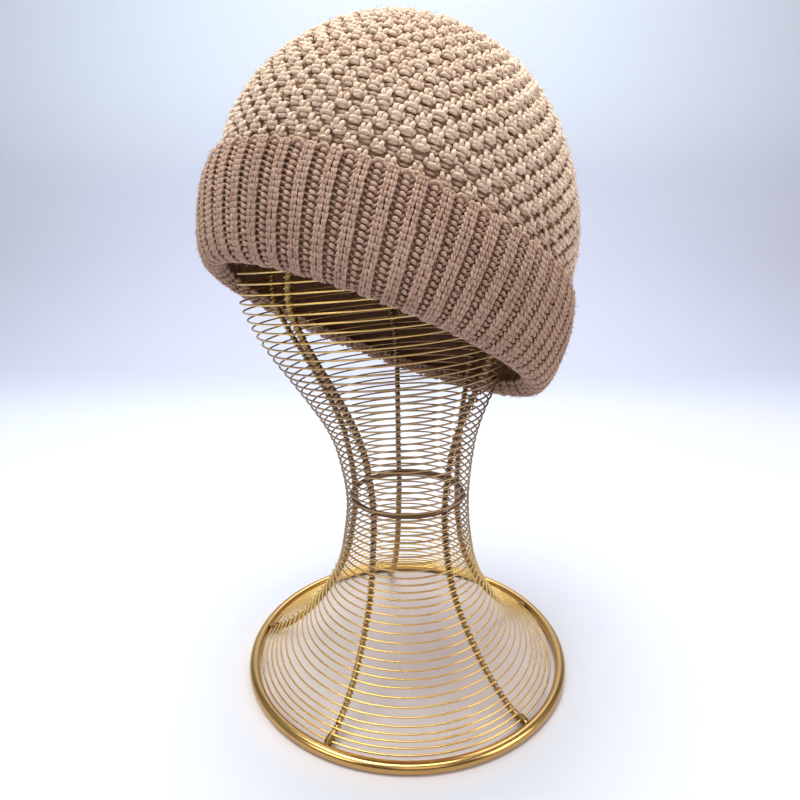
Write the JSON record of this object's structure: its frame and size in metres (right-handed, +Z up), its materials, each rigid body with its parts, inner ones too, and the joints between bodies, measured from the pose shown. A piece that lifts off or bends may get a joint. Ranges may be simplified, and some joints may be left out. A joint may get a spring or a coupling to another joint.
{
  "type": "knit hat on a wire stand",
  "caption": "Knitted beanie with a bobble-stitch crown and a turned-up ribbed cuff, tilted on an open wire-wound stand with a flared ring foot.",
  "frame": {"origin": "on the floor, under the centre of the whole object's box", "axes": "+Z up; the side that the picture shows faces -Y; +X is to the picture's right, the side to which the hat tips"},
  "size_m": [0.1678, 0.166, 0.2918],
  "materials": {
    "brass_rod": "polished, slightly worn",
    "brass_wire": "drawn wire",
    "ribbed_knit": "two by two rib in soft wool",
    "bobble_knit": "bobble stitch in soft wool"
  },
  "bodies": {
    "root": {"stand_frame": "brass_rod", "winding_01": "brass_wire", "winding_02": "brass_wire", "winding_03": "brass_wire", "winding_04": "brass_wire", "winding_05": "brass_wire", "winding_06": "brass_wire", "winding_07": "brass_wire", "winding_08": "brass_wire", "winding_09": "brass_wire", "winding_10": "brass_wire", "winding_11": "brass_wire", "winding_12": "brass_wire", "winding_13": "brass_wire", "winding_14": "brass_wire", "winding_15": "brass_wire", "cuff": "ribbed_knit", "crown": "bobble_knit"}
  },
  "joints": []
}
